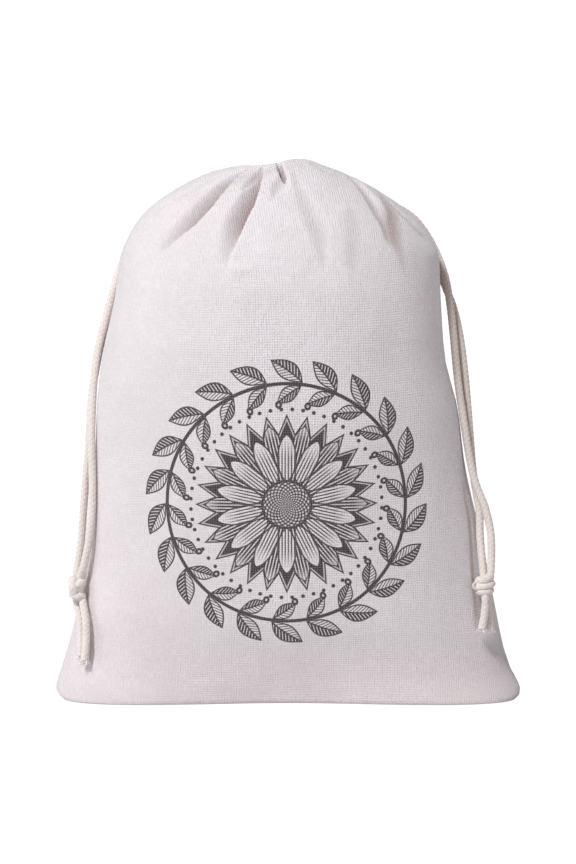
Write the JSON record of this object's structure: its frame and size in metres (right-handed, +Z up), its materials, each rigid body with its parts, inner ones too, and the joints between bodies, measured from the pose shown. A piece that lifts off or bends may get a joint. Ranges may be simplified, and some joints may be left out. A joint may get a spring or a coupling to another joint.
{
  "type": "cloth drawstring bread bag",
  "caption": "Filled cloth drawstring bag that stands on its base, with its mouth drawn shut behind the top ridge and knotted drawcords hanging down both sides.",
  "frame": {"origin": "centre of the bag's box at the height of the surface it stands on", "axes": "+Z up, -Y out of the front face, +X to the right as seen from the front"},
  "size_m": [0.293, 0.1559, 0.3367],
  "materials": {
    "cloth": "plain weave cotton and linen, undyed",
    "cord": "braided cotton, undyed"
  },
  "bodies": {
    "root": {"bag_cloth": "cloth", "cord_left_front": "cord", "cord_left_back": "cord", "cord_right_front": "cord", "cord_right_back": "cord", "knot_left": "cord", "knot_right": "cord", "tail_left_front": "cord", "tail_left_back": "cord", "tail_right_front": "cord", "tail_right_back": "cord"}
  },
  "joints": []
}
